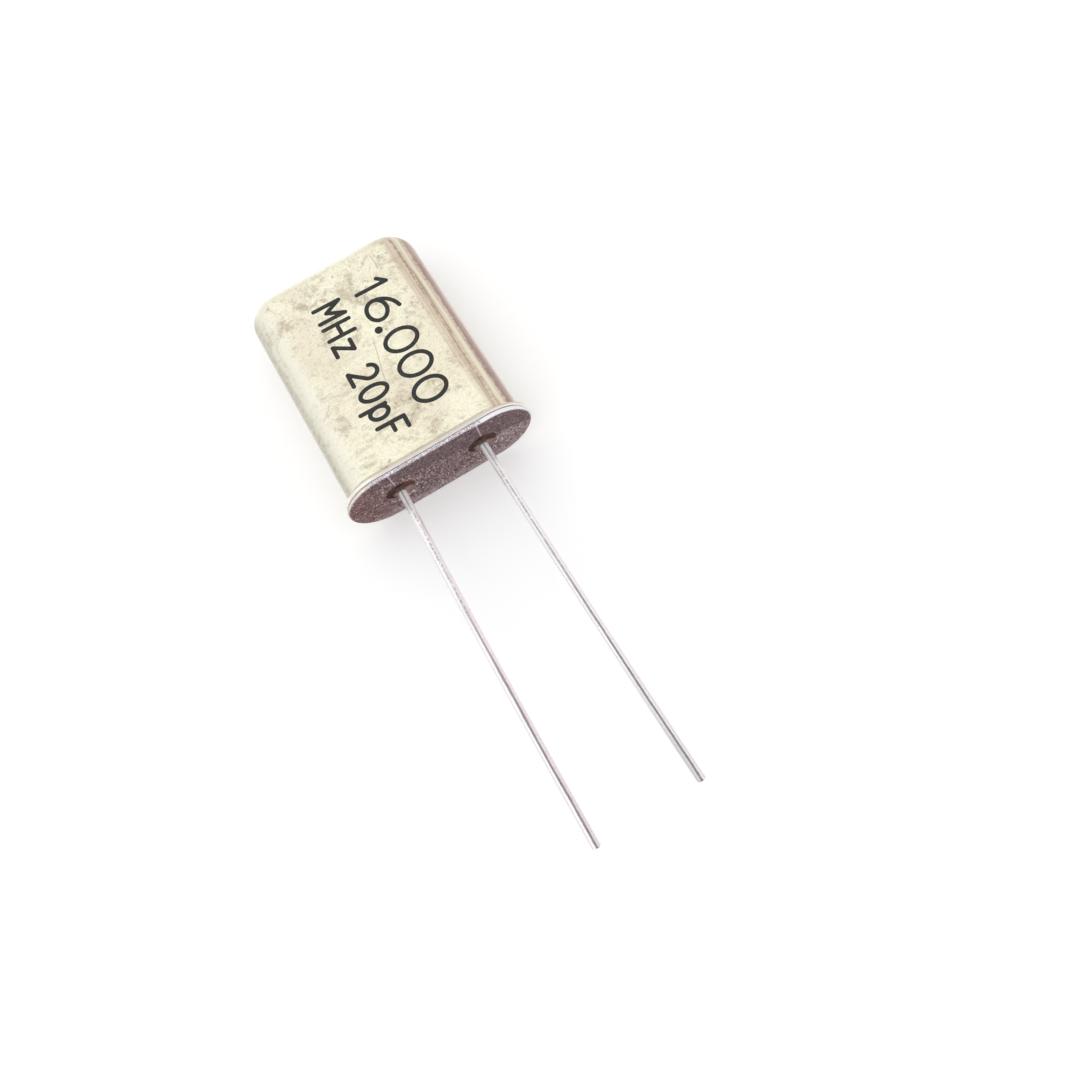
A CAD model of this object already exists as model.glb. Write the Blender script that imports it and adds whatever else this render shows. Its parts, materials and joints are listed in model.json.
"""Looks of a two-lead quartz crystal unit in a drawn metal can, laid out as a Blender add-on.

The unit lies on its back: X runs across the leads, +Y to the crown of the can, +Z out of the front face.
"""

import json
import math
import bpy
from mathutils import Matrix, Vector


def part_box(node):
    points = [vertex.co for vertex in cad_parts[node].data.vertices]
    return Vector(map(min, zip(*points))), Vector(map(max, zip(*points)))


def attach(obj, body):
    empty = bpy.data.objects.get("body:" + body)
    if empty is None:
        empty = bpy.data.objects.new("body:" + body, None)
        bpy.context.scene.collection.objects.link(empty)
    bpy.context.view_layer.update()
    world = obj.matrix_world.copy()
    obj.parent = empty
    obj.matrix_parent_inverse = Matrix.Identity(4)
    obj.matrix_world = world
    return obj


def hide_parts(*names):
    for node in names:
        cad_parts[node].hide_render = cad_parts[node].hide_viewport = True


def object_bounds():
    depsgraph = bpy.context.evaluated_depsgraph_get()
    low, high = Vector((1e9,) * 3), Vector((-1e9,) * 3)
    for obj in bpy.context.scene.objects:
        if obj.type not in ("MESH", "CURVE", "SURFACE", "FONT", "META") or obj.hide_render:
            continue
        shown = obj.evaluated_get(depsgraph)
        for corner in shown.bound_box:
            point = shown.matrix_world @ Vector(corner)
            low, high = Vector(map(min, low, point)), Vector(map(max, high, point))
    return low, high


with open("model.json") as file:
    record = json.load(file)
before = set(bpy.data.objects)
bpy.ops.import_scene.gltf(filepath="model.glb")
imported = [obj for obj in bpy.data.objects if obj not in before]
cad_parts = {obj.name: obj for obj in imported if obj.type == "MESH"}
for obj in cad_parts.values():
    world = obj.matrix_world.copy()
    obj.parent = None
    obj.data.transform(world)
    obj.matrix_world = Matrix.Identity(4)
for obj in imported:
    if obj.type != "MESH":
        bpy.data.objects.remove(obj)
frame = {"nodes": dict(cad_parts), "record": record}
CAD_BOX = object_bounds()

from types import SimpleNamespace

import bmesh
import bpy
from mathutils import Matrix, Vector

bl_info = {
    "name": "Quartz Crystal Unit",
    "version": (1, 0, 0),
    "blender": (4, 5, 0),
    "location": "View3D > Sidebar > Crystal",
    "description": "Builds the can, base, seals, leads, marking and stage of a two-lead crystal unit",
    "category": "Add Mesh",
}

MM = 0.001
BODY = "root"
SIDES = {"left": -1, "right": 1}
SWEEP = "Round-Ended Sweep"
MOUNTS = {mount["name"]: mount for mount in frame["record"]["mounts"]}

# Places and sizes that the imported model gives, in metres
CAN_LOW, CAN_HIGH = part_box("can")
PLUG_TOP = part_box("base_plate")[1].y
BASE_HALF = (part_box("base_plate")[1].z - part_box("base_plate")[0].z) / 2
SEAL_LOW, SEAL_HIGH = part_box("glass_seal_right")
LEAD_LOW, LEAD_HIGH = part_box("lead_right")
SEAT = Vector(MOUNTS["seat"]["pos_m"])
FLANGE_HALF = (CAN_HIGH.z - CAN_LOW.z) / 2
SPINE = (CAN_HIGH.x - CAN_LOW.x) - 2 * FLANGE_HALF
UNIT_HEIGHT = CAN_HIGH.y - SEAT.y
PLUG_HEIGHT = PLUG_TOP - SEAT.y
FLANGE_LOW = CAN_LOW.y - SEAT.y
SEAL_RADIUS = (SEAL_HIGH.x - SEAL_LOW.x) / 2
SEAL_RECESS = SEAL_LOW.y - SEAT.y
LEAD_X = (SEAL_HIGH.x + SEAL_LOW.x) / 2
LEAD_RADIUS = MOUNTS["lead_right"]["dims"]["r_mm"] * MM
HEAD_RADIUS = (LEAD_HIGH.z - LEAD_LOW.z) / 2
HEAD_TOP = LEAD_HIGH.y
DIAGONAL = (CAD_BOX[1] - CAD_BOX[0]).length

# Middle of a round end and of a lead in millimetres, as the finishes use them
END_AT = SPINE / 2 / MM
LEAD_AT = LEAD_X / MM

# Steps that the meshes are divided by
SECTION_STEP = 0.5 * MM
# Two more than a multiple of four, so that no point of the circle lies between the two ends
SEGMENTS = 182
ARC_STEP = math.radians(10)
WIRE_SIDES = 32
WIRE_STEPS = 40
BEND_STEPS = 4
INK_SIDES = 12
# Steps in a piece of ink line that is as long as the line is wide
INK_STEPS = 8
FLOOR_SEGMENTS = 8

# Distance at which points merge, and angle from which an edge is sharp
MERGE = 0.0005 * MM
SHARP = math.radians(35)

# Sizes and distances on the stage, in diagonals of the unit
FLOOR_REACH = 20
LAMP_SIZE = 3
LAMP_DISTANCE = 4
# Where the lamp stands, seen from the unit
LAMP_SIDE = Vector((-0.55, -0.25, 0.8))
# Width of the camera's frame in millimetres, and where its view starts and ends in shares of its distance
FRAME_WIDTH = 36
CLIP = (0.02, 200)


def length(name, description, millimetres):
    """A size that is shown in the scene's length unit."""
    return bpy.props.FloatProperty(
        name=name, description=description, default=millimetres * MM, min=0, unit="LENGTH", precision=6)


def angle(name, description, degrees):
    """An angle, shown in degrees."""
    return bpy.props.FloatProperty(
        name=name, description=description, default=math.radians(degrees), subtype="ANGLE")


def colour(name, description, value):
    """A linear colour."""
    return bpy.props.FloatVectorProperty(
        name=name, description=description, default=value, min=0, max=1, size=3, subtype="COLOR")


class CanSettings(bpy.types.PropertyGroup):
    """Sizes and colours of the drawn can."""

    sheet: length("Sheet", "Thickness of the drawn sheet", 0.2)
    crown: length("Crown radius", "Outer radius of the rounded edge round the crown", 1)
    flare: length("Flare radius", "Outer radius between the wall and the flange", 0.25)
    flat: length("Flange flat", "Flat of the flange between the flare and its rounded edge", 0.035)
    plate: colour("Plate", "Clean champagne nickel plate", (1.0, 0.97, 0.77))
    tarnish: colour("Tarnish", "Dull patches on the plate", (0.59, 0.525, 0.40))
    speck: colour("Specks", "Pits and dirt in the plate", (0.24, 0.19, 0.13))
    tan: colour("Tan", "Pinkish plate on the crown and the right end", (0.72, 0.58, 0.45))
    streak: colour("Streaks", "Olive brown line along the right end", (0.34, 0.26, 0.20))
    shade: colour("Shade", "Mauve brown of the right end's side", (0.35, 0.23, 0.215))
    pale: colour("Pale", "Whiter plate on the crown and the left end", (0.97, 0.94, 0.82))
    grey: colour("Grey", "Duller plate of the left end's side", (0.47, 0.445, 0.36))
    rim: colour("Rim", "Edge of the weld flange", (0.70, 0.645, 0.61))
    lip: colour("Lip", "Rubbed line along the top of the flange", (0.95, 0.92, 0.88))


class HeaderSettings(bpy.types.PropertyGroup):
    """Sizes and colours of the base and its glass seals."""

    seam: length("Weld flange", "Thickness of the base's weld flange", 0.26)
    gap: length("Plug gap", "Gap between the plug and the inside of the can", 0.06)
    mouth: length("Hole chamfer", "Chamfer at the mouth of each seal hole", 0.05)
    hollow: length("Meniscus", "Depth of the hollow in each end of the glass", 0.1)
    oxide: colour("Oxide", "Dark oxide of the base", (0.10, 0.062, 0.066))
    soot: colour("Soot", "Darkest scars of the base", (0.03, 0.017, 0.018))
    grain: colour("Grain", "Lighter grain of the base", (0.40, 0.29, 0.29))
    spark: colour("Sparkle", "Bright points in the grain", (0.86, 0.74, 0.74))
    smooth: colour("Smooth", "Smoother strip along the front of the base", (0.135, 0.095, 0.104))
    edge: colour("Edge", "Rubbed edge of the base's flange", (0.96, 0.94, 0.97))
    worn: colour("Worn", "Duller spots in the rubbed edge", (0.40, 0.35, 0.40))
    rust: colour("Rust", "Redder oxide at the left end of the base", (0.24, 0.11, 0.10))
    wall: colour("Hole wall", "Cleaner metal inside the seal holes", (0.74, 0.58, 0.55))
    glass: colour("Glass", "Dark sealing glass", (0.055, 0.018, 0.012))
    amber: colour("Amber", "Thin glass near the wire", (0.115, 0.042, 0.020))
    dust: colour("Dust", "Pinkish dust on the glass behind the wire", (0.40, 0.29, 0.28))
    cream: colour("Cream", "Edge of the flange at the left end", (0.95, 0.90, 0.79))
    tint: colour("Tint", "Tint of reflections at a flat angle", (0.62, 0.57, 0.58))


class LeadSettings(bpy.types.PropertyGroup):
    """Sizes and colours of the wire leads."""

    head: length("Head height", "Thickness of the nail head inside the can", 0.2)
    chamfer: length("Tip chamfer", "Chamfer on the cut end", 0.06)
    left_bow: length("Left bow", "How far the left lead bows outward between its ends", 0.06)
    right_bow: length("Right bow", "How far the right lead bows inward between its ends", 0.06)
    tin: colour("Tin", "Bright tinned wire", (0.98, 0.965, 0.97))
    blush: colour("Blush", "Pinkish tin on the right of the wire", (0.86, 0.75, 0.75))
    shade: colour("Shade", "Dull line along the left wire", (0.19, 0.13, 0.16))
    blue: colour("Blue", "Dull line along the right wire", (0.17, 0.165, 0.19))
    grey: colour("Grey", "Duller tin at the left edge and near the right tip", (0.36, 0.34, 0.36))
    glaze: colour("Glaze", "Glass that creeps along the wire to the seat", (0.10, 0.05, 0.03))


class MarkingSettings(bpy.types.PropertyGroup):
    """Generic marking on the front face."""

    first: bpy.props.StringProperty(
        name="First line", description="Figures of the first line", default="16.000")
    second: bpy.props.StringProperty(
        name="Second line", description="Units and figures of the second line", default="MHz 20pF")
    first_height: length("First height", "Height of the first line's figures, between stroke centres", 1.77)
    first_width: length("First width", "Width of a nought in the first line", 1.27)
    first_base: length("First baseline", "Distance of the first line's foot right of the middle", 0.8)
    second_height: length("Second height", "Height of the second line's figures", 1.5)
    second_width: length("Second width", "Width of a nought in the second line", 0.8)
    second_base: length("Second baseline", "Distance of the second line's foot left of the middle", 1.65)
    start: length("Start", "Height above the seat at which both lines start", 10.65)
    first_gap: length("First gap", "Gap between the stroke centres of two figures of the first line", 0.39)
    second_gap: length(
        "Second gap", "Gap between the stroke centres of two figures of the second line", 0.435)
    stroke: length("Stroke", "Width of the ink line", 0.24)
    film: length("Film", "Thickness of the ink, half of it in the plate's grain", 0.016)
    tilt: angle("Tilt", "Angle by which the print leans off the can's axis", 1.5)
    ink: colour("Ink", "Dark printing ink", (0.030, 0.032, 0.029))
    warm: colour("Warm ink", "Browner places in the ink", (0.058, 0.038, 0.032))
    cool: colour("Cool ink", "Bluer places in the ink", (0.036, 0.044, 0.050))


class InsideSettings(bpy.types.PropertyGroup):
    """Colours of the parts inside the can."""

    strip: colour("Strip", "Rolled nickel strip of the clips", (0.74, 0.72, 0.67))
    rolled: colour("Rolled lines", "Duller lines in the strip", (0.52, 0.50, 0.46))
    quartz: colour("Quartz", "Clear quartz", (0.95, 0.97, 0.98))
    bloom: colour("Bloom", "Grey bloom of the lapped faces", (0.82, 0.86, 0.88))
    silver: colour("Silver", "Clean silver film", (0.88, 0.87, 0.85))
    cloud: colour("Cloud", "Clouded silver film", (0.72, 0.69, 0.63))
    paste: colour("Paste", "Body of the cement", (0.36, 0.35, 0.33))
    flake: colour("Flakes", "Silver flakes in the cement", (0.66, 0.65, 0.62))


class StudioSettings(bpy.types.PropertyGroup):
    """Floor, light and camera."""

    floor: colour("Floor", "Plain pale floor", (0.95, 0.95, 0.95))
    zenith: colour("Zenith", "Soft light from above", (1.0, 1.0, 1.0))
    glow: colour("Floor glow", "Added to the lit floor for the eye, to make it white", (0.10, 0.10, 0.10))
    horizon: colour("Horizon", "Light from the sides of the room", (0.80, 0.79, 0.79))
    lamp: bpy.props.FloatProperty(
        name="Lamp", description="Brightness of the soft lamp's face", default=0.3, min=0)
    lens: bpy.props.FloatProperty(
        name="Lens", description="Focal length in millimetres on a 36 mm frame", default=25, min=1)
    distance: length("Distance", "From the camera to the point it looks at", 37.38)
    aim_x: length("Aim across", "Point looked at, right of the middle", 2.258)
    aim_y: length("Aim below", "Point looked at, below the seat", 6.053)
    azimuth: angle("Azimuth", "Turn of the view from +Y toward +X", 16.56)
    elevation: angle("Elevation", "Angle from which the camera looks down", 73.13)
    roll: angle("Roll", "Turn of the camera about its own axis", 15.05)


class UnitSettings(bpy.types.PropertyGroup):
    """All settings of the crystal unit."""

    can: bpy.props.PointerProperty(type=CanSettings)
    header: bpy.props.PointerProperty(type=HeaderSettings)
    leads: bpy.props.PointerProperty(type=LeadSettings)
    marking: bpy.props.PointerProperty(type=MarkingSettings)
    inside: bpy.props.PointerProperty(type=InsideSettings)
    studio: bpy.props.PointerProperty(type=StudioSettings)


class Wire:
    """A socket of a node tree. Arithmetic on it adds the Math nodes that work it out."""

    def __init__(self, graph, socket):
        self.graph = graph
        self.socket = socket

    def other(self, output):
        """Another output of the same node."""
        return Wire(self.graph, self.socket.node.outputs[output])

    def maths(self, operation, first, second=0.0):
        return self.graph.node("ShaderNodeMath", {"operation": operation}, {0: first, 1: second})

    def __add__(self, value):
        return self.maths("ADD", self, value)

    def __radd__(self, value):
        return self.maths("ADD", value, self)

    def __sub__(self, value):
        return self.maths("SUBTRACT", self, value)

    def __rsub__(self, value):
        return self.maths("SUBTRACT", value, self)

    def __mul__(self, value):
        return self.maths("MULTIPLY", self, value)

    def __rmul__(self, value):
        return self.maths("MULTIPLY", value, self)

    def __truediv__(self, value):
        return self.maths("DIVIDE", self, value)

    def __rtruediv__(self, value):
        return self.maths("DIVIDE", value, self)

    def __abs__(self):
        return self.maths("ABSOLUTE", self)

    def sign(self):
        return self.maths("SIGN", self)

    def root(self):
        return self.maths("SQRT", self)

    def turn(self, value):
        """Angle whose tangent is this over the value."""
        return self.maths("ARCTAN2", self, value)

    def at_least(self, value):
        return self.maths("MAXIMUM", self, value)

    def at_most(self, value):
        return self.maths("MINIMUM", self, value)


class Graph:
    """Adds nodes to one node tree."""

    def __init__(self, tree):
        self.tree = tree

    def node(self, kind, settings=None, inputs=None, output=0):
        """Adds a node: its settings first, then the values or links of its sockets."""
        made = self.tree.nodes.new(kind)
        for name, value in (settings or {}).items():
            setattr(made, name, value)
        for key, value in (inputs or {}).items():
            if isinstance(value, Wire):
                self.tree.links.new(value.socket, made.inputs[key])
            else:
                made.inputs[key].default_value = value
        return Wire(self, made.outputs[output]) if len(made.outputs) else None

    def parts(self, vector):
        """The X, Y and Z of a vector."""
        x = self.node("ShaderNodeSeparateXYZ", inputs={0: vector})
        return x, x.other(1), x.other(2)

    def vector(self, x, y, z):
        return self.node("ShaderNodeCombineXYZ", inputs={0: x, 1: y, 2: z})


class Finish(Graph):
    """Patterns that the surface finishes share, in millimetres from the middle of the seat."""

    def place(self, stretch=(1, 1, 1), turn=0.0):
        """Place on the unit in millimetres, stretched for a pattern that runs one way."""
        coordinates = self.node("ShaderNodeTexCoord", output="Object")
        scale = [s / MM for s in stretch]
        shift = Matrix.Rotation(turn, 3, "Z") @ Vector([-c * s for c, s in zip(SEAT, scale)])
        return self.node("ShaderNodeMapping", inputs={
            "Vector": coordinates, "Location": shift, "Rotation": (0, 0, turn), "Scale": scale})

    def noise(self, vector, scale, detail=2.0, roughness=0.5, distortion=0.0):
        return self.node("ShaderNodeTexNoise", inputs={
            "Vector": vector, "Scale": scale, "Detail": detail,
            "Roughness": roughness, "Distortion": distortion})

    def cells(self, vector, scale, feature="F1"):
        return self.node("ShaderNodeTexVoronoi", {"feature": feature}, {"Vector": vector, "Scale": scale})

    def step(self, value, low, high):
        """0 below low, 1 above high and a smooth rise between; falls where low is above high."""
        return self.node("ShaderNodeMapRange", {"interpolation_type": "SMOOTHSTEP"}, {
            "Value": value, "From Min": low, "From Max": high, "To Min": 0.0, "To Max": 1.0})

    def band(self, value, middle, wide, narrow):
        """1 where the value is within narrow of the middle, 0 where it is further off than wide."""
        return self.step(abs(value - middle), wide, narrow)

    def reach(self, across, front):
        """Distance from an axis along the unit."""
        return (across * across + front * front).root()

    def mix(self, share, first, second):
        """Colour that goes from first to second."""
        ends = [c if isinstance(c, Wire) else (*c, 1.0) for c in (first, second)]
        return self.node("ShaderNodeMix", {"data_type": "RGBA"}, {0: share, 6: ends[0], 7: ends[1]}, 2)

    def layers(self, colours, coats):
        """Colours with coats laid over them in turn. Each coat is its share and its colour."""
        for share, coat in coats:
            colours = self.mix(share, colours, coat)
        return colours

    def bump(self, height, micrometres):
        """Normal of a surface that the height lifts by so much."""
        return self.node("ShaderNodeBump", inputs={
            "Strength": 1.0, "Distance": micrometres * MM * MM, "Height": height})

    def warp(self, vector, scale, amount):
        """Place moved about by noise, so that round spots become ragged."""
        wander = self.node("ShaderNodeTexNoise", inputs={"Vector": vector, "Scale": scale}, output="Color")
        return self.node("ShaderNodeVectorMath", {"operation": "MULTIPLY_ADD"}, {
            0: wander, 1: (amount,) * 3, 2: vector})

    def specks(self, scale, share, size):
        """Ragged spots in some of the cells of a grid, of several sizes."""
        spot = self.cells(self.warp(self.place(), 3 * scale, 0.35 / scale), scale)
        chance = self.parts(spot.other("Color"))[0]
        radius = self.step(chance, 1 - share, 1.0) * size
        return self.step(spot, radius, radius * 0.45)

    def scratch(self, low, high):
        """Hair line on the front face between two places, each across and above the seat."""
        x, height, front = self.parts(self.warp(self.place(), 0.8, 0.15))
        lean = (high[0] - low[0]) / (high[1] - low[1])
        off = abs(x - low[0] - (height - low[1]) * lean)
        ends = self.step(height, low[1] - 0.2, low[1]) * self.step(height, high[1] + 0.2, high[1])
        return self.step(off, 0.045, 0.015) * ends * self.step(front, 0.0, 0.5)


def finish(name, sockets):
    """Makes a material; sockets(graph) gives the Principled sockets' values and links."""
    material = bpy.data.materials.new(name)
    material.use_nodes = True
    material.node_tree.nodes.clear()
    graph = Finish(material.node_tree)
    surface = graph.node("ShaderNodeBsdfPrincipled", inputs=sockets(graph))
    graph.node("ShaderNodeOutputMaterial", inputs={"Surface": surface})
    return material


def plate_marks(g):
    """Places on the can and patterns of wear that the layers of its plate share."""
    x, height, front = g.parts(g.place())
    patch = g.noise(g.place(), 0.9, 5, 0.62, 0.5)
    mottle = g.noise(g.place(), 4.5, 4, 0.65)
    worn_high = g.band(height, 11.0, 1.0, 0.3) * 0.035
    rubbed = g.step(g.noise(g.place(), 0.5, 2, 0.5), 0.42, 0.58)
    rubbed = rubbed * g.step(height, 9.0, 6.0) * g.step(x, 2.0, 0.0)
    hairs = g.noise(g.place((1.2, 4.2, 1), math.radians(20)), 1.0, 4, 0.62)
    crack = g.cells(g.warp(g.place(), 1.6, 0.5), 0.5, "DISTANCE_TO_EDGE")
    dirty = g.step(g.noise(g.place(), 0.8, 2, 0.5), 0.36, 0.58)
    lines = g.noise(g.place((2.2, 0.16, 2.2)), 1.0, 4, 0.62)
    swing = (x - END_AT).at_least(0.0).turn(front) + (lines - 0.5) * 0.22
    left_swing = (0.0 - x - END_AT).at_least(0.0).turn(front) + (lines - 0.5) * 0.3
    return SimpleNamespace(
        x=x, height=height, patch=patch, mottle=mottle, swing=swing, left_swing=left_swing,
        dull=g.step(patch * 0.6 + mottle * 0.4 + worn_high, 0.485, 0.65),
        fine=g.step(g.noise(g.place(), 5.5, 3, 0.7), 0.50, 0.62),
        dust=g.step(g.noise(g.place(), 12, 2, 0.6), 0.52, 0.61),
        hairs=g.step(hairs, 0.46, 0.62) * rubbed,
        crackle=g.step(crack, 0.02, 0.004) * g.step(patch, 0.50, 0.62),
        spots=g.specks(2.0, 0.5, 0.30).at_least(g.specks(4.0, 0.5, 0.38)) * dirty,
        pits=g.specks(5.5, 0.4, 0.22).at_least(g.specks(8, 0.5, 0.32)) * dirty,
        threads=g.noise(g.place((7, 0.14, 7)), 1.0, 3, 0.6),
        round_end=g.step(swing, 0.08, 0.32) * g.step(swing, 2.6, 2.0),
        rim=g.step(height, 0.52, 0.44))


def worn_plate(g, can, marks):
    """Plate with dull patches, dirt, rubbed hairlines, crackle, pits and two scratches."""
    tone = g.step(g.noise(g.place(), 0.32, 3, 0.55), 0.40, 0.66)
    scratch = g.scratch((-0.19, 4.9), (0.36, 7.4)).at_least(g.scratch((2.62, 11.3), (2.60, 12.1)))
    return g.layers(g.mix(marks.dull * 0.88, can.plate, can.tarnish), (
        ((marks.fine * 0.30).at_least(marks.dust * 0.30), can.tarnish),
        (tone * 0.28, can.tan),
        (marks.hairs * 0.55, can.tarnish),
        (marks.crackle * 0.3, can.speck),
        (marks.spots * 0.34, can.speck),
        (marks.pits * 0.55, can.speck),
        (g.specks(0.8, 0.25, 0.22) * 0.3, can.speck),
        (scratch * 0.4, can.speck)))


def right_end(g, can, marks, colours):
    """Tan threads, an olive line and a bright one along the right end, and its mauve side."""
    swing = marks.swing
    broken = g.step(marks.threads * 0.5 + marks.mottle * 0.5, 0.42, 0.56)
    side = g.step(swing + (marks.mottle - 0.5) * 0.3, 0.70, 0.86) * g.step(swing, 1.32, 0.92)
    return g.layers(colours, (
        (marks.round_end * 0.75, can.tan),
        (g.step(marks.threads, 0.44, 0.64) * marks.round_end * 0.4, can.streak),
        (g.band(swing, 0.44, 0.085, 0.02) * broken * 0.7, can.streak),
        (g.band(swing, 0.61, 0.12, 0.03) * 0.55, can.plate),
        (side * (0.78 + broken * 0.2) * (1 - g.step(marks.height, 9.5, 13.0) * 0.35), can.shade),
        (g.step(swing, 1.04, 1.28) * g.step(swing, 2.6, 2.0) * 0.40, can.rim)))


def left_end(g, can, marks, colours):
    """Paler plate along the left end, its grey side and the brighter turn behind it."""
    swing = marks.left_swing
    ahead = g.step(swing, 2.6, 2.0)
    cleaner = (0.78 - marks.dull * 0.35 - marks.fine * 0.2 - marks.dust * 0.15) * ahead
    side = g.step(swing, 0.58, 1.02) * g.step(swing, 1.6, 1.12)
    return g.layers(colours, (
        (g.step(swing, 0.05, 0.4) * cleaner, can.pale),
        (side * (0.72 + g.step(marks.mottle, 0.42, 0.6) * 0.2), can.grey),
        (g.step(swing, 1.15, 1.45) * ahead * 0.6, can.lip)))


def flange_rim(g, can, marks, colours):
    """Dark crease above the flange, the flange's edge and the rubbed lines along it."""
    x, height = marks.x, marks.height
    ragged = (marks.mottle - 0.5) * 0.12
    turned = g.step(x, 2.8, 4.2)
    lower = g.mix(g.step(x, -2.4, -4.0), can.rim, can.pale)
    upper = g.mix(g.step(height, 0.31, 0.36), can.lip, can.tan)
    return g.layers(colours, (
        (g.band(height + ragged, 0.66, 0.10, 0.03) * g.step(x, 4.2, 2.8) * 0.5, can.streak),
        (marks.rim * 0.85, g.mix(turned, lower, upper)),
        (g.step(height, 0.31, 0.27), can.lip),
        (g.band(height + ragged * 0.4, 0.48, 0.07, 0.02) * (0.45 + turned * 0.3), can.lip)))


def can_plate(can):
    """Champagne nickel plate, worn all over, banded along both ends and bare at the rim."""

    def sockets(g):
        marks = plate_marks(g)
        plain = worn_plate(g, can, marks)
        banded = left_end(g, can, marks, right_end(g, can, marks, plain))

        # The bands fade out below the crown, which is paler at the left than at the right
        crown = g.mix(g.step(marks.x, 1.5, 4.0), can.pale, can.tan)
        colours = g.layers(banded, (
            (g.step(marks.height, 12.75, 13.3), plain),
            (g.step(marks.height, 12.3, 12.9) * 0.45, crown)))
        relief = marks.mottle * 0.5 + marks.patch + marks.hairs * 0.4 + marks.threads * marks.round_end
        relief = relief - marks.pits * 0.8 - marks.crackle * 0.3
        return {
            "Base Color": flange_rim(g, can, marks, colours),
            "Metallic": 1 - marks.pits * 0.5,
            "Roughness": 0.30 + marks.dull * 0.14 + marks.fine * 0.06 + marks.pits * 0.2 - marks.rim * 0.06,
            "Normal": g.bump(relief * (1 - g.step(marks.height, 12.5, 13.2) * 0.65), 14),
        }

    return finish("can_plate", sockets)


def base_oxide(header):
    """Dark granular oxide with bright points, cleaner in the holes and rubbed bare at the edges."""
    edge_at = BASE_HALF / MM
    hole_at = SEAL_RADIUS / MM

    def sockets(g):
        x, height, front = g.parts(g.place())
        from_spine = g.reach((abs(x) - END_AT).at_least(0.0), front)
        from_lead = abs(x) - LEAD_AT
        from_hole = g.reach(from_lead, front) - hole_at
        grain = g.noise(g.place(), 9, 4, 0.75)
        broad = g.noise(g.place(), 1.6, 3, 0.6)
        lumps = g.noise(g.place(), 4.5, 3, 0.6)

        # Oxide of the flat seat, with a smoother strip along its front
        strip = g.step(front + x * 0.2 + (broad - 0.5) * 0.9, 0.78, 1.05)
        ashy = g.step(grain * 0.5 + lumps * 0.32 + broad * 0.18, 0.44, 0.56)
        lighter = (g.step(front, -1.1, -1.9) * 0.55).at_least(g.step(x, 2.6, 3.8) * (1 - strip) * 0.26)
        scars = g.step(g.noise(g.place((0.5, 1, 1.8)), 2.4, 4, 0.65), 0.52, 0.68)
        soot = g.specks(5, 0.6, 0.4).at_least(scars * (1 - strip) * 0.7)
        sparkle = g.specks(6.5, 0.75, 0.45).at_least(g.specks(10, 0.6, 0.5) * 0.8)
        sparkle = sparkle * g.step(lumps, 0.36, 0.56) * (1 - strip * 0.55)

        # Holes: a gleam before each, a broken bright mouth and a cleaner wall
        gleam = g.band(from_lead + x.sign() * front * 0.04, 0.06, 0.06, 0.02) * g.step(front, 0.75, 1.0)
        mouth = g.band(from_hole, 0.04, 0.06, 0.02) * g.step(lumps - front * 0.1, 0.48, 0.60) * ashy
        inside = g.step(from_hole, 0.015, -0.005)
        lit = g.mix(g.step(grain * 0.6 + lumps * 0.4, 0.38, 0.62), header.grain, header.wall)

        # Rubbed edge of the flange
        turned = g.step(x, 2.0, 3.4)
        worn = g.step(from_spine, edge_at - 0.12, edge_at - 0.04)
        worn = worn * g.step(height + turned * 0.1, -0.01, 0.09)
        grit = g.parts(g.cells(g.place(), 20).other("Color"))[0]
        bright = grit * 0.45 + lumps * 0.55 + turned * 0.4 + g.step(height, 0.17, 0.23) * 0.5
        bare = g.mix(g.step(bright, 0.30, 0.72), header.worn, header.edge)
        bare = g.mix(g.step(x, -2.8, -4.4) * 0.75, bare, header.cream)
        colours = g.layers(g.mix(ashy, header.oxide, header.grain), (
            (g.step(x, -2.0, -4.4) * g.step(lumps, 0.38, 0.6) * 0.8, header.rust),
            (strip * 0.6, header.smooth),
            (lighter * grain, header.spark),
            (soot * 0.78, header.soot),
            (sparkle * 0.95, header.spark),
            ((gleam * 0.5).at_least(mouth * 0.65), header.spark),
            (inside * 0.9, lit),
            (worn * 0.95, bare)))
        return {
            "Base Color": colours,
            "Metallic": 0.9 - inside * 0.8,
            "Specular Tint": (*header.tint, 1.0),
            "Roughness": 0.34 + grain * 0.2 - worn * 0.16,
            "Normal": g.bump(grain + lumps * 0.4 + sparkle * 0.3, 30),
        }

    return finish("base_oxide", sockets)


def sealing_glass(header):
    """Dark brown glass, amber where it is thin and dusty behind the wire."""

    def sockets(g):
        x, _, front = g.parts(g.place())
        from_wire = g.reach(abs(x) - LEAD_AT, front)
        beside = x - x.sign() * LEAD_AT
        cloud = g.noise(g.place(), 3.5, 4, 0.6)
        creep = g.step(from_wire, 0.6, 0.2) * g.step(cloud, 0.35, 0.7)
        right_half = g.step(beside + (cloud - 0.5) * 0.9, 0.0, 0.5) * (0.9 - g.step(x, -0.5, 0.5) * 0.5)
        thin = creep.at_least(right_half) * (1 - g.step(front, 0.25, 0.75) * 0.6)
        dusty = g.step(front + (cloud - 0.5) * 0.3, -0.36, -0.56) * g.step(beside, -0.6, -0.3)
        colours = g.mix(thin, header.glass, header.amber)
        return {
            "Base Color": g.mix(dusty * 0.8, colours, header.dust),
            "Roughness": 0.22 + cloud * 0.12 + dusty * 0.3,
            "Specular IOR Level": 0.15,
            "Normal": g.bump(cloud, 10),
        }

    return finish("sealing_glass", sockets)


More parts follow.
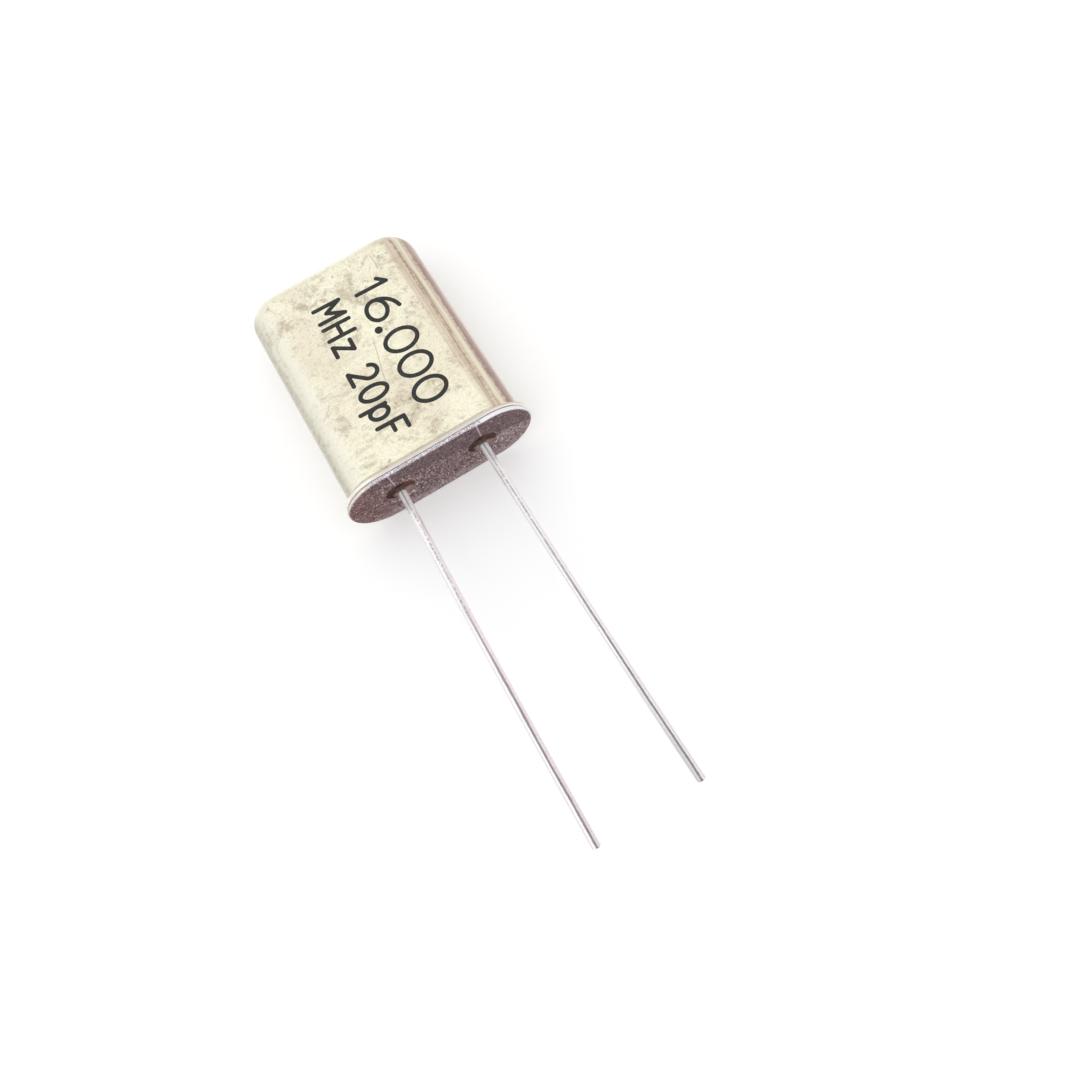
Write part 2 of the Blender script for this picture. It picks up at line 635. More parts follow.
def tinned_wire(leads):
    """Bright dipped tin, pinkish at the right, with glass on it at the seal.

    A dull line along the wire is broken near the base and darkens toward the tip.
    """

    def sockets(g):
        across = g.node("ShaderNodeAttribute", {"attribute_name": "across"}, output="Fac")
        lines = g.noise(g.place((5, 0.30, 5)), 1.0, 4, 0.6)
        lumps = g.noise(g.place((1, 0.6, 1)), 3.2, 3, 0.6)
        grains = g.noise(g.place((1, 0.6, 1)), 10, 4, 0.75)
        x, height, _ = g.parts(g.place())
        right = g.step(x, -0.5, 0.5)

        # The dull line, with a second start of it at the base
        wander = across + (lines - 0.5) * 0.5 - 0.12 + right * 0.18
        dots = g.step(grains + right * 0.05, 0.42, 0.56)
        unbroken = g.step(height, -4.0, -9.0) * 0.85
        inner = g.step(across * (1 - right * 2), 0.05, 0.5)
        near_base = g.step(height, -1.2, -0.5).at_least(g.step(height, -2.5, -1.0) * inner)
        seam = g.step(abs(wander) + (grains - 0.5) * 0.4, 0.36, 0.14) * dots.at_least(unbroken)
        root = g.band(across + (lines - 0.5) * 0.3, -0.05, 0.32, 0.14) * g.step(height, -1.7, -0.7)
        seam = (seam * (1 - near_base * 0.7)).at_least(root)
        depth = 0.62 + g.step(height, -4.0, -14.0) * 0.30

        # Greyer tin at the left edge and toward the tips, and the glass at the seal
        edge = g.band(across, -0.80, 0.16, 0.04) * 0.35
        dull = g.step(wander, 0.10, -0.20) * g.step(height, -11, -19) * right * 0.55
        grey = edge.at_least(dull).at_least(g.step(height, -9, -19) * 0.14)
        glaze = g.step(height + (grains - 0.5) * 0.2, -0.12, 0.0)
        blush = g.step(across, 0.25, 0.6) * (0.8 - near_base * 0.4)
        colours = g.layers(g.mix(blush, leads.tin, leads.blush), (
            (grey, leads.grey),
            (seam * depth, g.mix(right, leads.shade, leads.blue)),
            (glaze * 0.9, leads.glaze)))
        return {
            "Base Color": colours,
            "Metallic": (0.75 - near_base * 0.65) * (1 - glaze),
            "Roughness": 0.24 + seam * 0.15 + grains * 0.08,
            "Normal": g.bump(lumps + lines * 0.6 + grains * 0.25, 12),
        }

    return finish("tinned_wire", sockets)


def printing_ink(marking):
    """Dark ink, uneven in tone and rubbed thin in places."""

    def sockets(g):
        body = g.noise(g.place(), 7, 4, 0.6)
        thin = g.step(g.noise(g.place(), 2.2, 5, 0.7), 0.58, 0.74)
        paler = tuple(c * 2.2 + 0.015 for c in marking.ink)
        warm = g.step(g.noise(g.place((1, 1, 0)), 1.4, 3, 0.6), 0.46, 0.60)
        colours = g.mix(warm, marking.cool, marking.warm)
        colours = g.mix(g.step(body, 0.40, 0.60), colours, marking.ink)
        return {
            "Base Color": g.mix(thin * 0.8, colours, paler),
            "Roughness": 0.55 + body * 0.25,
            "Specular IOR Level": 0.25,
            "Normal": g.bump(body, 4),
        }

    return finish("printing_ink", sockets)


def strip_nickel(inside):
    """Rolled nickel strip of the spring clips."""

    def sockets(g):
        rolled = g.noise(g.place((1, 12, 1)), 1.0, 3, 0.6)
        return {
            "Base Color": g.mix(rolled, inside.rolled, inside.strip),
            "Metallic": 1.0,
            "Roughness": 0.22 + rolled * 0.18,
            "Normal": g.bump(rolled, 4),
        }

    return finish("strip_nickel", sockets)


def lapped_quartz(inside):
    """Lapped quartz: a clear plate with a fine grey bloom."""

    def sockets(g):
        bloom = g.noise(g.place(), 22, 3, 0.7)
        return {
            "Base Color": g.mix(bloom, inside.bloom, inside.quartz),
            "Roughness": 0.22 + bloom * 0.25,
            "Transmission Weight": 0.6,
            "IOR": 1.54,
            "Normal": g.bump(bloom, 3),
        }

    return finish("lapped_quartz", sockets)


def silver_film(inside):
    """Evaporated silver with faint clouding."""

    def sockets(g):
        cloud = g.noise(g.place(), 2.4, 4, 0.6)
        return {
            "Base Color": g.mix(g.step(cloud, 0.4, 0.7), inside.silver, inside.cloud),
            "Metallic": 1.0,
            "Roughness": 0.12 + cloud * 0.15,
        }

    return finish("silver_film", sockets)


def cement_paste(inside):
    """Dull silver-filled cement with flakes."""

    def sockets(g):
        flake = g.parts(g.cells(g.place(), 28).other("Color"))[0]
        lump = g.noise(g.place(), 9, 3, 0.6)
        return {
            "Base Color": g.mix(flake, inside.paste, inside.flake),
            "Metallic": 0.4,
            "Roughness": 0.45 + lump * 0.3,
            "Normal": g.bump(flake * 0.5 + lump, 12),
        }

    return finish("cement_paste", sockets)


def new_tree(name, sockets):
    """Starts a Geometry Nodes tree with named inputs. Gives its graph and its inputs by name."""
    tree = bpy.data.node_groups.new(name, "GeometryNodeTree")
    for label, kind in {"Geometry": "Geometry", **sockets, "Material": "Material"}.items():
        tree.interface.new_socket(label, in_out="INPUT", socket_type="NodeSocket" + kind)
    tree.interface.new_socket("Geometry", in_out="OUTPUT", socket_type="NodeSocketGeometry")
    graph = Graph(tree)
    source = tree.nodes.new("NodeGroupInput")
    given = {s.name: Wire(graph, s) for s in source.outputs if s.name}
    return graph, given


def end_tree(graph, geometry, material):
    """Ends a tree: smooth faces, real instances, one material."""
    smooth = graph.node("GeometryNodeSetShadeSmooth", inputs={"Geometry": geometry})
    real = graph.node("GeometryNodeRealizeInstances", inputs={"Geometry": smooth})
    painted = graph.node("GeometryNodeSetMaterial", inputs={"Geometry": real, "Material": material})
    graph.node("NodeGroupOutput", inputs={"Geometry": painted})
    return graph.tree


def sweep_tree():
    """Turns a half section about one axis, parts the two halves along a spine and lays the whole down."""
    g, given = new_tree(SWEEP, {
        "Spine": "Float", "Radius": "Float", "Segments": "Int", "Merge": "Float", "Seat": "Vector"})
    circle = g.node("GeometryNodeCurvePrimitiveCircle", inputs={
        "Resolution": given["Segments"], "Radius": given["Radius"]})
    across = g.parts(g.node("GeometryNodeInputPosition"))[0]
    path = g.node("GeometryNodeStoreNamedAttribute", {"data_type": "FLOAT"}, {
        "Geometry": circle, "Name": "end", "Value": across.sign()})
    section = g.node("GeometryNodeMeshToCurve", inputs={"Mesh": given["Geometry"]})
    profile = g.node("GeometryNodeSetPosition", inputs={
        "Geometry": section, "Offset": g.vector(0.0 - given["Radius"], 0.0, 0.0)})
    turned = g.node("GeometryNodeCurveToMesh", inputs={"Curve": path, "Profile Curve": profile})
    end = g.node("GeometryNodeInputNamedAttribute", {"data_type": "FLOAT"}, {"Name": "end"})
    parted = g.node("GeometryNodeSetPosition", inputs={
        "Geometry": turned, "Offset": g.vector(end * given["Spine"] / 2, 0.0, 0.0)})
    plain = g.node("GeometryNodeRemoveAttribute", inputs={"Geometry": parted, "Name": "end"})
    whole = g.node("GeometryNodeMergeByDistance", inputs={"Geometry": plain, "Distance": given["Merge"]})
    laid = g.node("GeometryNodeTransform", inputs={
        "Geometry": whole, "Translation": given["Seat"], "Rotation": (-math.pi / 2, 0, 0)})
    return end_tree(g, laid, given["Material"])


def hole_tree():
    """Cuts the same hole at each of two leads, in millimetres, where the solver's tolerance is small."""
    g, given = new_tree("Seal Holes", {"Cutter": "Object", "Lead": "Float"})
    cutter = g.node("GeometryNodeObjectInfo", inputs={"Object": given["Cutter"]}, output="Geometry")
    places = g.node("GeometryNodeMeshLine", {"mode": "END_POINTS"}, {
        "Count": len(SIDES),
        "Start Location": g.vector(0.0 - given["Lead"], 0.0, 0.0),
        "Offset": g.vector(given["Lead"], 0.0, 0.0)})
    cutters = g.node("GeometryNodeInstanceOnPoints", inputs={"Points": places, "Instance": cutter})
    tools = g.node("GeometryNodeRealizeInstances", inputs={"Geometry": cutters})
    large = [g.node("GeometryNodeTransform", inputs={"Geometry": shape, "Scale": (1 / MM,) * 3})
             for shape in (given["Geometry"], tools)]
    holed = g.node("GeometryNodeMeshBoolean", {"operation": "DIFFERENCE"}, {
        "Mesh 1": large[0], "Mesh 2": large[1]})
    small = g.node("GeometryNodeTransform", inputs={"Geometry": holed, "Scale": (MM,) * 3})
    return end_tree(g, small, given["Material"])


def wire_tree():
    """Draws a round wire along a path whose points carry its radius.

    It keeps the X of the surface's normal, which tells the finish where round the wire it is.
    """
    g, given = new_tree("Drawn Wire", {"Sides": "Int"})
    path = g.node("GeometryNodeMeshToCurve", inputs={"Mesh": given["Geometry"]})
    radius = g.node("GeometryNodeInputNamedAttribute", {"data_type": "FLOAT"}, {"Name": "wire_radius"})
    ring = g.node("GeometryNodeCurvePrimitiveCircle", inputs={"Resolution": given["Sides"], "Radius": 1.0})
    wire = g.node("GeometryNodeCurveToMesh", inputs={
        "Curve": path, "Profile Curve": ring, "Scale": radius, "Fill Caps": True})
    across = g.parts(g.node("GeometryNodeInputNormal"))[0]
    marked = g.node("GeometryNodeStoreNamedAttribute", {"data_type": "FLOAT"}, {
        "Geometry": wire, "Name": "across", "Value": across})
    return end_tree(g, marked, given["Material"])


def ink_tree():
    """Lays a flat ink line with round ends along each stroke."""
    g, given = new_tree("Ink Strokes", {
        "Stroke": "Float", "Film": "Float", "Step": "Float", "Merge": "Float"})
    half = given["Stroke"] / 2
    strokes = g.node("GeometryNodeMeshToCurve", inputs={"Mesh": given["Geometry"]})
    even = g.node("GeometryNodeResampleCurve", {"mode": "LENGTH"}, {
        "Curve": strokes, "Length": given["Step"]})
    level = g.node("GeometryNodeSetCurveNormal", {"mode": "Z_UP"}, {"Curve": even})
    along = g.node("GeometryNodeSplineParameter", output="Length")
    whole = g.node("GeometryNodeSplineLength", output="Length")
    closed = g.node("GeometryNodeInputSplineCyclic")
    near_end = (1 - along.at_most(whole - along) / half).at_least(0.0)
    taper = (1 - near_end * near_end).at_least(0.0).root().at_least(closed)
    ring = g.node("GeometryNodeCurvePrimitiveCircle", inputs={"Resolution": INK_SIDES, "Radius": 1.0})
    flat = g.node("GeometryNodeTransform", inputs={
        "Geometry": ring, "Scale": g.vector(1.0, given["Film"] / given["Stroke"], 1.0)})
    laid = g.node("GeometryNodeCurveToMesh", inputs={
        "Curve": level, "Profile Curve": flat, "Scale": taper * half, "Fill Caps": True})
    whole_ends = g.node("GeometryNodeMergeByDistance", inputs={"Geometry": laid, "Distance": given["Merge"]})
    return end_tree(g, whole_ends, given["Material"])


def outline_mesh(name, runs):
    """Mesh of edges only. Each run is its points and whether it closes on itself."""
    points = []
    edges = []
    for run, closed in runs:
        first = len(points)
        points += [Vector(p).to_3d() for p in run]
        edges += [(i, i + 1) for i in range(first, len(points) - 1)]
        if closed:
            edges.append((len(points) - 1, first))
    mesh = bpy.data.meshes.new(name)
    mesh.from_pydata(points, edges, [])
    return mesh


def run_tree(name, mesh, tree, values):
    """Runs a tree on a mesh and keeps the result as an object with a plain, closed mesh."""
    source = bpy.data.objects.new(name + "_source", mesh)
    bpy.context.scene.collection.objects.link(source)
    modifier = source.modifiers.new("Shape", "NODES")
    modifier.node_group = tree
    for item in tree.interface.items_tree:
        if item.in_out == "INPUT" and item.name in values:
            modifier[item.identifier] = values[item.name]
    evaluated = source.evaluated_get(bpy.context.evaluated_depsgraph_get())
    made = bpy.data.meshes.new_from_object(evaluated)
    bpy.data.objects.remove(source)
    bpy.data.meshes.remove(mesh)
    if not made.polygons:
        raise RuntimeError(f"{name}: the {tree.name} tree made no faces")
    close_mesh(made)
    made.name = name
    piece = bpy.data.objects.new(name, made)
    bpy.context.scene.collection.objects.link(piece)
    return piece


def close_mesh(mesh):
    """Merges doubled points, turns the faces outwards and marks the sharp edges."""
    work = bmesh.new()
    work.from_mesh(mesh)
    bmesh.ops.remove_doubles(work, verts=work.verts, dist=MERGE / 10)
    bmesh.ops.recalc_face_normals(work, faces=work.faces)
    work.to_mesh(mesh)
    work.free()
    mesh.set_sharp_from_angle(angle=SHARP)


def stand_for(piece, node):
    """The piece moves with the unit, stands for a CAD node and takes the slot's finish."""
    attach(piece, BODY)
    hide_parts(node)


def arc(centre, radii, start, end):
    """Points on an arc of an ellipse, from one angle in degrees to another."""
    turn = math.radians(end - start)
    count = max(2, math.ceil(abs(turn) / ARC_STEP))
    angles = [math.radians(start) + turn * i / count for i in range(count + 1)]
    return [(centre[0] + radii[0] * math.cos(a), centre[1] + radii[1] * math.sin(a)) for a in angles]


def straight(start, end, step):
    """Points on a straight line, its first one left out, no further apart than step."""
    start = Vector(start)
    run = Vector(end) - start
    count = max(1, math.ceil(run.length / step))
    return [tuple(start + run * (i / count)) for i in range(1, count + 1)]


def round_arc(centre, radius, start, end):
    """Points on an arc of a circle."""
    return arc(centre, (radius, radius), start, end)


def upright(section):
    """Half section (out from the spine, up from the seat) as a profile that the sweep stands up."""
    return [(out, -up, 0.0) for out, up in section]


def wall_step(can):
    """How far the can's wall lies inside the edge of its flange."""
    return can.flare + can.flat + can.sheet / 2


def can_section(can):
    """Half section of the drawn sheet, from the crown's outer face round the flange to its inner face."""
    wall = FLANGE_HALF - wall_step(can)
    inside = wall - can.sheet
    edge = can.sheet / 2
    crown_at = (wall - can.crown, UNIT_HEIGHT - can.crown)
    flare_at = (wall + can.flare, FLANGE_LOW + can.sheet + can.flare)
    section = [(0.0, UNIT_HEIGHT)]
    section += straight(section[-1], (crown_at[0], UNIT_HEIGHT), SECTION_STEP)
    section += round_arc(crown_at, can.crown, 90, 0)[1:]
    section += straight(section[-1], (wall, flare_at[1]), SECTION_STEP)
    section += round_arc(flare_at, can.flare, 180, 270)[1:]
    section += round_arc((FLANGE_HALF - edge, FLANGE_LOW + edge), edge, 90, -90)
    section += round_arc(flare_at, can.flare + can.sheet, 270, 180)
    section += straight(section[-1], (inside, crown_at[1]), SECTION_STEP)
    section += round_arc(crown_at, can.crown - can.sheet, 0, 90)[1:]
    section += straight(section[-1], (0.0, UNIT_HEIGHT - can.sheet), SECTION_STEP)
    return section


def base_section(can, header):
    """Half section of the base: a flat seat, a rounded weld flange and the plug inside the can."""
    plug = FLANGE_HALF - wall_step(can) - can.sheet - header.gap
    edge = header.seam / 2
    section = [(0.0, 0.0)]
    section += straight(section[-1], (BASE_HALF - edge, 0.0), SECTION_STEP)
    section += round_arc((BASE_HALF - edge, edge), edge, -90, 90)[1:]
    for corner in ((plug, header.seam), (plug, PLUG_HEIGHT), (0.0, PLUG_HEIGHT)):
        section += straight(section[-1], corner, SECTION_STEP)
    return section


def hole_section(header):
    """Half section of the tool that cuts a seal hole with a chamfered mouth."""
    past = header.seam
    top = PLUG_HEIGHT + past
    return [(0.0, -past), (SEAL_RADIUS + header.mouth + past, -past),
            (SEAL_RADIUS, header.mouth), (SEAL_RADIUS, top), (0.0, top)]


def seal_section(header):
    """Section of a glass bead between the wire and the hole, hollowed at both ends."""
    half = (SEAL_RADIUS - LEAD_RADIUS) / 2
    radius = (half * half + header.hollow * header.hollow) / (2 * header.hollow)
    swing = math.degrees(math.asin(half / radius))
    middle = LEAD_RADIUS + half
    low_at = (middle, SEAL_RECESS + header.hollow - radius)
    high_at = (middle, PLUG_HEIGHT - header.hollow + radius)
    section = round_arc(low_at, radius, 90 + swing, 90 - swing)
    section += round_arc(high_at, radius, -90 + swing, -90 - swing)
    return section


def swept(name, section, closed, material, spine=SPINE, seat=SEAT):
    """A piece swept round the spine, or turned about one axis where the spine has no length."""
    radius = max(out for out, up in section)
    tree = bpy.data.node_groups.get(SWEEP) or sweep_tree()
    return run_tree(name, outline_mesh(name, [(upright(section), closed)]), tree, {
        "Spine": spine, "Radius": radius, "Segments": SEGMENTS, "Merge": MERGE, "Seat": seat,
        "Material": material})


class CRYSTAL_OT_can(bpy.types.Operator):
    """Sweeps the drawn can"""

    bl_idname = "crystal.can"
    bl_label = "Drawn Can"

    def execute(self, context):
        can = context.scene.crystal_unit.can
        shell = swept("can_shell", can_section(can), False, can_plate(can))
        stand_for(shell, "can")
        return {"FINISHED"}


class CRYSTAL_OT_header(bpy.types.Operator):
    """Sweeps the base, cuts its holes and turns the glass seals"""

    bl_idname = "crystal.header"
    bl_label = "Base and Seals"

    def execute(self, context):
        unit = context.scene.crystal_unit
        oxide = base_oxide(unit.header)
        blank = swept("base_blank", base_section(unit.can, unit.header), False, oxide)
        cutter = swept("hole_cutter", hole_section(unit.header), False, oxide, 0.0)
        holed = run_tree("base_shell", blank.data.copy(), hole_tree(), {
            "Cutter": cutter, "Lead": LEAD_X, "Material": oxide})
        for spent in (blank, cutter):
            bpy.data.meshes.remove(spent.data)
        stand_for(holed, "base_plate")
        glass = sealing_glass(unit.header)
        for side, sign in SIDES.items():
            middle = SEAT + Vector((sign * LEAD_X, 0, 0))
            bead = swept(f"seal_bead_{side}", seal_section(unit.header), True, glass, 0.0, middle)
            stand_for(bead, f"glass_seal_{side}")
        return {"FINISHED"}


class CRYSTAL_OT_leads(bpy.types.Operator):
    """Draws both wire leads with their nail heads"""

    bl_idname = "crystal.leads"
    bl_label = "Leads"

    def execute(self, context):
        leads = context.scene.crystal_unit.leads
        tin = tinned_wire(leads)
        tree = wire_tree()
        for side, sign in SIDES.items():
            bow = leads.left_bow if side == "left" else -leads.right_bow
            path, radii = lead_path(leads, side, sign, bow)
            mesh = outline_mesh(side, [(path, False)])
            attribute = mesh.attributes.new("wire_radius", "FLOAT", "POINT")
            attribute.data.foreach_set("value", radii)
            wire = run_tree(f"lead_wire_{side}", mesh, tree, {"Sides": WIRE_SIDES, "Material": tin})
            stand_for(wire, f"lead_{side}")
        return {"FINISHED"}


def lead_path(leads, side, sign, bow):
    """Points of a lead from its nail head to its tip, and the radius at each."""
    mount = MOUNTS[f"lead_{side}"]
    axis = Vector(mount["axis"])
    half = axis * mount["dims"]["length_mm"] * MM / 2
    start = Vector(mount["pos_m"]) - half
    end = Vector(mount["pos_m"]) + half
    entry = SEAT + Vector((sign * LEAD_X, 0, 0))
    up = Vector((0, 1, 0))
    inner_end = Vector((entry.x, HEAD_TOP, entry.z))
    under_head = inner_end - up * leads.head
    bend = entry - up * (entry - start).length / 2
    step = MERGE * 10
    path = [inner_end, under_head, under_head - up * step]
    radii = [HEAD_RADIUS, HEAD_RADIUS, LEAD_RADIUS]
    for i in range(BEND_STEPS):
        share = i / BEND_STEPS
        path.append(entry.lerp(bend, share).lerp(bend.lerp(start, share), share))
    for i in range(WIRE_STEPS + 1):
        share = i / WIRE_STEPS
        path.append(start.lerp(end, share) + Vector((sign * bow * 4 * share * (1 - share), 0, 0)))
    path.append(end + axis * leads.chamfer)
    radii += [LEAD_RADIUS] * (len(path) - len(radii) - 1) + [LEAD_RADIUS - leads.chamfer]
    return path, radii


# Heights of small letters and of middle bars, as shares of the line's height
X_HEIGHT = 0.66
BAR = 0.52


def ring(w, h):
    """Closed ellipse that stands on the foot of the line."""
    return arc((w / 2, h / 2), (w / 2, h / 2), 0, 360)


# Each function below gives the strokes of one figure, w wide and h high, from the foot of the line
def nought(w, h):
    return [ring(w, h)]


def one(w, h):
    return [[(w / 2, 0), (w / 2, h)], [(w / 2, h), (0, 0.76 * h)]]


def two(w, h):
    bowl = arc((w / 2, 0.7 * h), (w / 2, 0.3 * h), 165, -35)
    return [bowl, [bowl[-1], (0, 0)], [(0, 0), (w, 0)]]


def six(w, h):
    tail = arc((w, 0.31 * h), (w, 0.69 * h), 180, 104)
    return [ring(w, 0.62 * h), tail]


def point(w, h):
    return [ring(w, w)]


def capital_m(w, h):
    dip = (w / 2, 0.38 * h)
    return [[(0, 0), (0, h)], [(0, h), dip], [dip, (w, h)], [(w, h), (w, 0)]]


def capital_h(w, h):
    return [[(0, 0), (0, h)], [(w, 0), (w, h)], [(0, BAR * h), (w, BAR * h)]]


def capital_f(w, h):
    return [[(0, 0), (0, h)], [(0, h), (w, h)], [(0, BAR * h), (0.8 * w, BAR * h)]]


def small_z(w, h):
    top = X_HEIGHT * h
    return [[(0, top), (w, top)], [(w, top), (0, 0)], [(0, 0), (w, 0)]]


def small_p(w, h):
    top = X_HEIGHT * h
    return [ring(w, top), [(0, top), (0, -0.28 * h)]]


# Each figure's strokes, and its width as a share of a nought's
FIGURES = {
    "0": (nought, 1.0), "1": (one, 0.6), "2": (two, 0.95), "6": (six, 1.0), ".": (point, 0.16),
    "M": (capital_m, 1.1), "H": (capital_h, 0.95), "F": (capital_f, 0.8),
    "z": (small_z, 0.8), "p": (small_p, 0.85), " ": (None, 0.45),
}


def line_strokes(text, width, height, gap):
    """Strokes of a line of figures, from its left end along its foot."""
    strokes = []
    at = 0.0
    for figure in text:
        draw, share = FIGURES[figure]
        if draw:
            strokes += [[(at + u, v) for u, v in stroke] for stroke in draw(share * width, height)]
        at += share * width + gap
    return strokes


def drawn_out(run, reach):
    """Run whose ends go on by so much, so that the round ends of strokes that meet cover each other."""
    before = run[0] + (run[0] - run[1]).normalized() * reach
    after = run[-1] + (run[-1] - run[-2]).normalized() * reach
    return [before, *run[1:-1], after]


def print_line(unit, line, base, tree, ink):
    """Prints the first or the second line on the front face. It reads from the crown toward the seat."""
    marking = unit.marking
    width, height, gap = (getattr(marking, f"{line}_{size}") for size in ("width", "height", "gap"))
    face = CAN_HIGH.z - wall_step(unit.can)
    tilt = Matrix.Rotation(-math.pi / 2 - marking.tilt, 2)
    start = Vector((base, SEAT.y + marking.start))
    runs = []
    for stroke in line_strokes(getattr(marking, line), width, height, gap):
        placed = [start + tilt @ Vector(p) for p in stroke]
        closed = (placed[0] - placed[-1]).length < MERGE
        placed = placed[:-1] if closed else drawn_out(placed, marking.stroke / 2)
        runs.append(([(p.x, p.y, face) for p in placed], closed))
    piece = run_tree(f"marking_{line}", outline_mesh(line, runs), tree, {
        "Stroke": marking.stroke, "Film": marking.film, "Step": marking.stroke / INK_STEPS,
        "Merge": MERGE, "Material": ink})
    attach(piece, BODY)


class CRYSTAL_OT_marking(bpy.types.Operator):
    """Prints the two lines of generic marking on the front face"""

    bl_idname = "crystal.marking"
    bl_label = "Marking"

    def execute(self, context):
        unit = context.scene.crystal_unit
        ink = printing_ink(unit.marking)
        tree = ink_tree()
        print_line(unit, "first", unit.marking.first_base, tree, ink)
        print_line(unit, "second", -unit.marking.second_base, tree, ink)
        return {"FINISHED"}


class CRYSTAL_OT_inside(bpy.types.Operator):
    """Finishes the clips, blank, electrodes and cement inside the can"""

    bl_idname = "crystal.inside"
    bl_label = "Inner Parts"

    def execute(self, context):
        inside = context.scene.crystal_unit.inside
        finishes = {"mount_clip": strip_nickel(inside), "quartz_blank": lapped_quartz(inside),
                    "electrode": silver_film(inside), "cement": cement_paste(inside)}
        for name, node in frame["nodes"].items():
            for start, material in finishes.items():
                if name.startswith(start):
                    node.data.materials.clear()
                    node.data.materials.append(material)
        return {"FINISHED"}


class CRYSTAL_OT_stage(bpy.types.Operator):
    """Sets the floor, the soft light and the camera"""

    bl_idname = "crystal.stage"
    bl_label = "Stage"

    def execute(self, context):
        studio = context.scene.crystal_unit.studio
        lay_floor(context.scene, studio)
        light_room(context.scene, studio)
        place_camera(context.scene, studio)
        context.scene.view_settings.view_transform = "Standard"
        return {"FINISHED"}


def lay_floor(scene, studio):
    """A wide pale floor that touches the flange and the crown's edge, as the unit comes to rest."""
    can = scene.crystal_unit.can
    flange_y = CAN_LOW.y + can.sheet / 2
    crown_y = CAN_HIGH.y - can.crown
    lean = math.atan2(wall_step(can), crown_y - flange_y)
    work = bmesh.new()
    bmesh.ops.create_grid(
        work, x_segments=FLOOR_SEGMENTS, y_segments=FLOOR_SEGMENTS, size=FLOOR_REACH * DIAGONAL)
    tilted = Matrix.Translation((0, flange_y, CAN_LOW.z)) @ Matrix.Rotation(lean, 4, "X")
    bmesh.ops.transform(work, matrix=tilted, verts=work.verts)
    mesh = bpy.data.meshes.new("floor")
    work.to_mesh(mesh)
    work.free()

    def sockets(g):
        tone = g.noise(g.place(), 0.05, 2, 0.5)
        paler = tuple(c * 0.99 for c in studio.floor)
        ray = g.node("ShaderNodeLightPath", output="Is Camera Ray")
        seen = (ray + ray.other("Is Glossy Ray") + ray.other("Is Transmission Ray")).at_most(1.0)
        return {
            "Base Color": g.mix(tone, studio.floor, paler),
            "Roughness": 0.9,
            "Specular IOR Level": 0.0,
            "Emission Color": g.mix(seen, (0, 0, 0), studio.glow),
            "Emission Strength": 1.0,
        }

    mesh.materials.append(finish("floor_paper", sockets))
    floor = bpy.data.objects.new("floor", mesh)
    scene.collection.objects.link(floor)


def light_room(scene, studio):
    """A room that is brighter above than at its sides, and one wide soft lamp at the upper left."""
    world = bpy.data.worlds.new("room")
    world.use_nodes = True
    world.node_tree.nodes.clear()
    g = Finish(world.node_tree)
    up = g.parts(g.node("ShaderNodeTexCoord", output="Generated"))[2]
    light = g.mix(g.step(up, -0.1, 0.6), studio.horizon, studio.zenith)
    room = g.node("ShaderNodeBackground", inputs={"Color": light, "Strength": 1.0})
    g.node("ShaderNodeOutputWorld", inputs={"Surface": room})
    scene.world = world
    size = LAMP_SIZE * DIAGONAL
    lamp = bpy.data.lights.new("soft_lamp", "AREA")
    lamp.shape = "SQUARE"
    lamp.size = size
    lamp.energy = studio.lamp * math.pi * size * size
    holder = bpy.data.objects.new("soft_lamp", lamp)
    away = LAMP_SIDE.normalized()
    holder.location = SEAT + away * LAMP_DISTANCE * DIAGONAL
    holder.rotation_euler = away.to_track_quat("Z", "Y").to_euler()
    scene.collection.objects.link(holder)


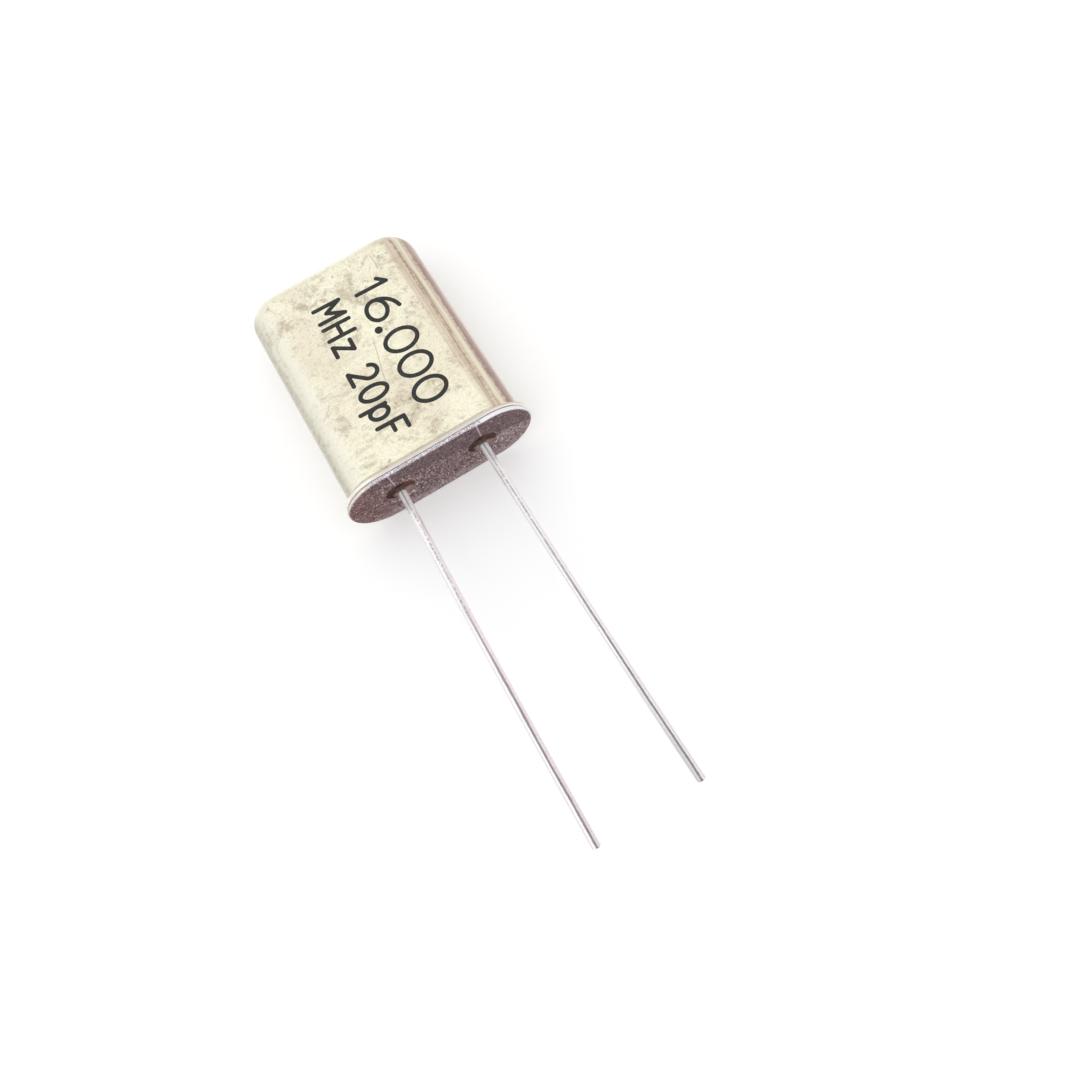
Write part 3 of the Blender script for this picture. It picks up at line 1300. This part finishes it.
def place_camera(scene, studio):
    """The camera of the photograph, from the point it looks at and its three turns."""
    aim = SEAT + Vector((studio.aim_x, -studio.aim_y, 0))
    flat = math.cos(studio.elevation)
    look = Vector((math.sin(studio.azimuth) * flat, math.cos(studio.azimuth) * flat,
                   -math.sin(studio.elevation)))
    level = look.cross(Vector((0, 0, 1))).normalized()
    right = Matrix.Rotation(studio.roll, 3, look) @ level
    up = right.cross(look)
    data = bpy.data.cameras.new("camera")
    data.lens = studio.lens
    data.sensor_width = FRAME_WIDTH
    data.clip_start = studio.distance * CLIP[0]
    data.clip_end = studio.distance * CLIP[1]
    camera = bpy.data.objects.new("camera", data)
    turn = Matrix((right, up, -look)).transposed()
    camera.matrix_world = Matrix.Translation(aim - look * studio.distance) @ turn.to_4x4()
    scene.collection.objects.link(camera)
    scene.camera = camera


class CRYSTAL_PT_unit(bpy.types.Panel):
    """Settings and steps of the crystal unit"""

    bl_idname = "CRYSTAL_PT_unit"
    bl_label = "Quartz Crystal Unit"
    bl_space_type = "VIEW_3D"
    bl_region_type = "UI"
    bl_category = "Crystal"

    def draw(self, context):
        unit = context.scene.crystal_unit
        for step, settings in STEPS:
            box = self.layout.box()
            box.operator(step.bl_idname)
            group = getattr(unit, settings)
            for name in group.__annotations__:
                box.prop(group, name)


STEPS = (
    (CRYSTAL_OT_can, "can"),
    (CRYSTAL_OT_header, "header"),
    (CRYSTAL_OT_leads, "leads"),
    (CRYSTAL_OT_marking, "marking"),
    (CRYSTAL_OT_inside, "inside"),
    (CRYSTAL_OT_stage, "studio"),
)
CLASSES = (CanSettings, HeaderSettings, LeadSettings, MarkingSettings, InsideSettings, StudioSettings,
           UnitSettings, *(step for step, settings in STEPS), CRYSTAL_PT_unit)


def register():
    for entry in CLASSES:
        bpy.utils.register_class(entry)
    bpy.types.Scene.crystal_unit = bpy.props.PointerProperty(type=UnitSettings)


def unregister():
    del bpy.types.Scene.crystal_unit
    for entry in reversed(CLASSES):
        bpy.utils.unregister_class(entry)


def main():
    """Builds the unit and its stage."""
    register()
    bpy.ops.crystal.can()
    bpy.ops.crystal.header()
    bpy.ops.crystal.leads()
    bpy.ops.crystal.marking()
    bpy.ops.crystal.inside()
    bpy.ops.crystal.stage()


if __name__ == "__main__":
    main()
